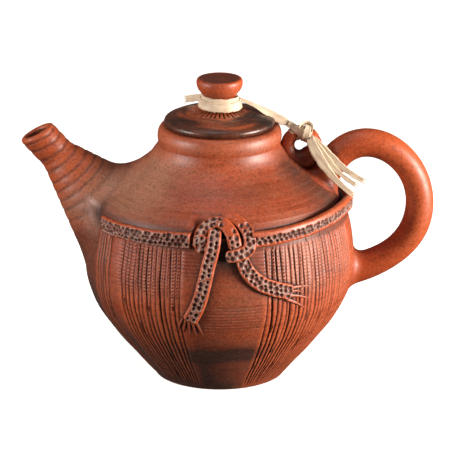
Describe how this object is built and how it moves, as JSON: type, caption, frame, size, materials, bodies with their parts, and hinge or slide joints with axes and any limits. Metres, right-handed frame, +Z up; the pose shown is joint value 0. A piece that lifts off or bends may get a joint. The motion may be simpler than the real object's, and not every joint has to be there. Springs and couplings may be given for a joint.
{
  "type": "teapot",
  "caption": "Hand-thrown brown clay teapot with a knotted clay sash, combed bowl, ring handle and a lid tied to a lug with raffia.",
  "frame": {"origin": "middle of the flat foot, on the axis of the bowl", "axes": "+Z up along the bowl's axis, +X from the bowl towards the handle, -X towards the spout, -Y towards the knot of the sash"},
  "size_m": [0.2223, 0.1475, 0.1644],
  "materials": {
    "clay": "satin",
    "dark_clay": "satin",
    "raffia": "matte"
  },
  "bodies": {
    "pot": {"bowl": "clay", "shoulder": "clay", "spout": "clay", "handle": "clay", "lug_ring": "clay", "sash_left": "dark_clay", "sash_right": "dark_clay", "knot_left_loop": "dark_clay", "knot_right_loop": "dark_clay", "knot_crossing": "dark_clay", "left_tail": "dark_clay", "right_tail": "dark_clay", "lug_hitch": "raffia", "end_upper": "raffia", "end_middle": "raffia", "end_lower": "raffia"},
    "tie": {"knob_wrap": "raffia", "tether": "raffia"},
    "lid": {"lid": "dark_clay", "lid_flange": "clay", "knob": "clay"}
  },
  "joints": [
    {"name": "lid_tip", "type": "hinge", "parent": "pot", "child": "tie", "pos_m": [0.03925, 0, 0.13827], "axis": [0, 1, 0], "range_deg": [0, 120]},
    {"name": "lid_turn", "type": "hinge", "parent": "tie", "child": "lid", "pos_m": [0, 0, 0.1478], "axis": [0, 0, 1], "continuous": true}
  ]
}
